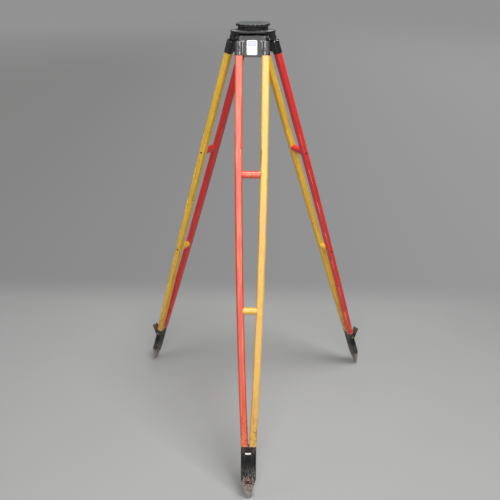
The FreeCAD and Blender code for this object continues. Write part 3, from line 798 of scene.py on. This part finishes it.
def cap_material():
    """Moulded satin black with a dusty bloom and a painted sheen on its top, hairline scratches and a
    rubbed grip edge.
    """
    s = Shader("cap_satin_black")
    cloud = s.noise(30, 5.0, 0.6)
    fine = s.noise(800, 4.0, 0.6)
    scratch = s.noise((90, 1400, 300), 3.0, 0.7)
    swirl = s.noise((1100, 120, 300), 3.0, 0.7)
    color = s.blend(cloud, *CAP_BLACK)
    lines = s.larger(s.step(scratch, 0.62, 0.72), s.step(swirl, 0.64, 0.72))
    top = s.step(s.axis("Z"), CAP_TOP - 3 * MM, CAP_TOP - 1 * MM)
    color = s.covered(color, s.times(lines, top), 0.5, CAP_SCRATCH)
    # Painted reflection: the whole top face is lifted towards pale grey as if it mirrored the light,
    # with a dusty bloom in patches on top of that
    bloom_and_sheen = s.times(s.step(s.noise(45, 6.0, 0.7), 0.45, 0.75), top)
    bloom_and_sheen = s.times_plus(bloom_and_sheen, 0.35, s.times(top, 0.22))
    color = s.blend(bloom_and_sheen, color, CAP_BLOOM_AND_SHEEN)
    rub = s.times_plus(s.attribute("wear"), 0.35, s.noise(190, 5.0, 0.7))
    rubbed = s.step(rub, 0.74, 0.84)
    color = s.covered(color, rubbed, 0.3, CAP_RUBBED)
    rough = s.times_plus(cloud, 0.2, 0.3)
    s.bump(fine, 0.15 * MM, 0.5)
    return s.finish(color, rough, specular=0.25)


def label_material(leg):
    """Blank white sticker, slightly yellowed, with one empty pale field in a grey line."""
    s = Shader("blank_label", leg_matrix(leg))
    stain = s.noise(120, 5.0, 0.6)
    color = s.covered(LABEL_WHITE, s.step(stain, 0.5, 0.85), 0.35, LABEL_STAIN)
    aside = s.size(s.plus(s.axis("X"), FIELD_ASIDE))
    above = s.size(s.plus(s.axis("Z"), FIELD_DOWN))
    reach = s.larger(s.minus(aside, FIELD_HALF_WIDE), s.minus(above, FIELD_HALF_HIGH))
    color = s.covered(color, s.step(reach, 0.3 * MM, -0.3 * MM), 0.85, LABEL_FIELD)
    line = s.step(s.size(reach), 0.9 * MM, 0.6 * MM)
    color = s.covered(color, line, 0.8, LABEL_LINE)
    rough = s.times_plus(stain, 0.15, 0.35)
    s.bump(s.noise(60, 3.0, 0.5), 0.3 * MM, 0.5)
    return s.finish(color, rough)


def fibre_material():
    """The cap's oil-stained fibre ring."""
    s = Shader("oiled_fibre")
    fleck = s.noise(500, 5.0, 0.7)
    color = s.blend(fleck, *OILED_FIBRE)
    s.bump(fleck, 0.4 * MM, 0.7)
    return s.finish(color, 0.7)


def floor_material():
    """Pale grey studio paper, lit near the object. Behind it and far off, the floor is a glowing
    emission, painted light that is darker to the left and lighter to the right and runs out into an
    even grey farthest off.
    """
    s = Shader("studio_floor_and_painted_glow")
    cloud = s.noise(1.3, 3.0, 0.5)
    s.finish(s.blend(cloud, *FLOOR_PAPER), 0.9, specular=0.1)
    behind = s.step(s.axis("Y"), *FLOOR_ENDS_BEHIND)
    span = s.nodes.new("ShaderNodeVectorMath")
    span.operation = "LENGTH"
    s.links.new(s.coords, span.inputs[0])
    glowing_part = s.larger(behind, s.step(span.outputs["Value"], *FLOOR_ENDS_ROUND))
    # Painted light: where the floor is not lit, it glows, shaded darker to the left and lighter to the
    # right, fading to the sky's grey farthest off
    glow = s.nodes.new("ShaderNodeEmission")
    across = s.step(s.axis("X"), *PAINTED_GLOW_ACROSS)
    backdrop_glow = s.blend(across, *PAINTED_BACKDROP_GLOW)
    farthest = s.step(span.outputs["Value"], *PAINTED_GLOW_ENDS)
    far_glow_color = s.blend(farthest, backdrop_glow, (SKY_LEVEL, SKY_LEVEL, SKY_LEVEL))
    s.links.new(far_glow_color, glow.inputs["Color"])
    mix = s.nodes.new("ShaderNodeMixShader")
    s.links.new(glowing_part, mix.inputs["Fac"])
    s.links.new(s.bsdf.outputs["BSDF"], mix.inputs[1])
    s.links.new(glow.outputs["Emission"], mix.inputs[2])
    output = next(node for node in s.nodes if node.type == "OUTPUT_MATERIAL")
    s.links.new(mix.outputs["Shader"], output.inputs["Surface"])
    return s.material


def dress(node, material):
    """Give a CAD node its material."""
    obj = frame["nodes"][node]
    obj.data.materials.clear()
    obj.data.materials.append(material)


dark_steel = plain_metal("dark_steel", DARK_STEEL, 0.35, 0.4)
brass = plain_metal("dull_brass", DULL_BRASS, 0.3)
rivet_paint = plain_metal("rivet_paint", RIVET_PAINT, 0.35, 0.3)
for leg in LEGS:
    red = painted_wood("red_paint_" + leg, leg, RED)
    yellow = painted_wood("yellow_paint_" + leg, leg, YELLOW)
    for node, material in (
        ("stave_red_", red), ("rung_upper_", red),
        ("stave_yellow_", yellow), ("rung_lower_", yellow),
        ("shoe_rivet_", brass), ("rung_screws_", dark_steel), ("socket_rivets_", rivet_paint),
        ("hinge_bolt_", dark_steel), ("hinge_nut_", dark_steel), ("hinge_washers_", dark_steel),
        ("shoe_point_", worn_steel("point_steel_" + leg, leg)),
    ):
        dress(node + leg, material)
dress("cap_liner", fibre_material())
dress("label", label_material("front"))

for leg in LEGS:
    place = leg_matrix(leg)
    yoke = casting("yoke_" + leg, YOKE_VOXEL, place, rib=seam)
    stands_for(yoke, "leg_" + leg, "black_paint", yoke_paint("yoke_paint_" + leg, leg), "yoke_" + leg)
    shoe = casting("shoe_" + leg, SHOE_VOXEL, place)
    stands_for(shoe, "leg_" + leg, "black_paint", shoe_paint("shoe_paint_" + leg, leg), "shoe_" + leg)
head = casting("head_casting", HEAD_VOXEL, Matrix.Identity(4), cut_above=PLATE_TOP + 0.1 * MM)
stands_for(head, "head", "black_paint", head_paint(), "head_casting")
thread = instrument_thread()
thread_metal = plain_metal("oiled_thread_metal", THREAD_METAL, 0.3)
stands_for(thread, "head", "black_paint", thread_metal, "head_casting")
stands_for(screw_cap(), "cap_body", "cap_black", cap_material(), "cap")


# ---- floor, lights and camera

def floor():
    mesh = bpy.data.meshes.new("floor")
    corners = [(FLOOR_HALF * x, FLOOR_HALF * y, 0) for x, y in ((-1, -1), (1, -1), (1, 1), (-1, 1))]
    mesh.from_pydata(corners, [], [(0, 1, 2, 3)])
    obj = new_object("floor", mesh)
    mesh.materials.append(floor_material())


def area_light(name, place, target, size, power):
    data = bpy.data.lights.new(name, "AREA")
    data.shape = "RECTANGLE"
    data.size, data.size_y = size
    data.energy = power
    obj = new_object(name, data)
    obj.location = place
    obj.rotation_euler = (Vector(target) - Vector(place)).to_track_quat("-Z", "Y").to_euler()


def camera():
    data = bpy.data.cameras.new("camera")
    data.lens = CAMERA_LENS
    data.sensor_width = CAMERA_SENSOR
    obj = new_object("camera", data)
    aim = Matrix.Rotation(CAMERA_YAW, 4, "Z") @ Matrix.Rotation(math.pi / 2 - CAMERA_DOWN, 4, "X")
    obj.matrix_world = Matrix.Translation(CAMERA_PLACE) @ aim @ Matrix.Rotation(CAMERA_ROLL, 4, "Z")
    bpy.context.scene.camera = obj


def sky():
    world = bpy.data.worlds.new("studio")
    world.use_nodes = True
    background = world.node_tree.nodes["Background"]
    background.inputs["Color"].default_value = (1.0, 1.0, 1.0, 1.0)
    background.inputs["Strength"].default_value = SKY_LEVEL
    bpy.context.scene.world = world


floor()
camera()
sky()
for light in LIGHTS:
    area_light(*light)
bpy.context.scene.view_settings.view_transform = "Standard"
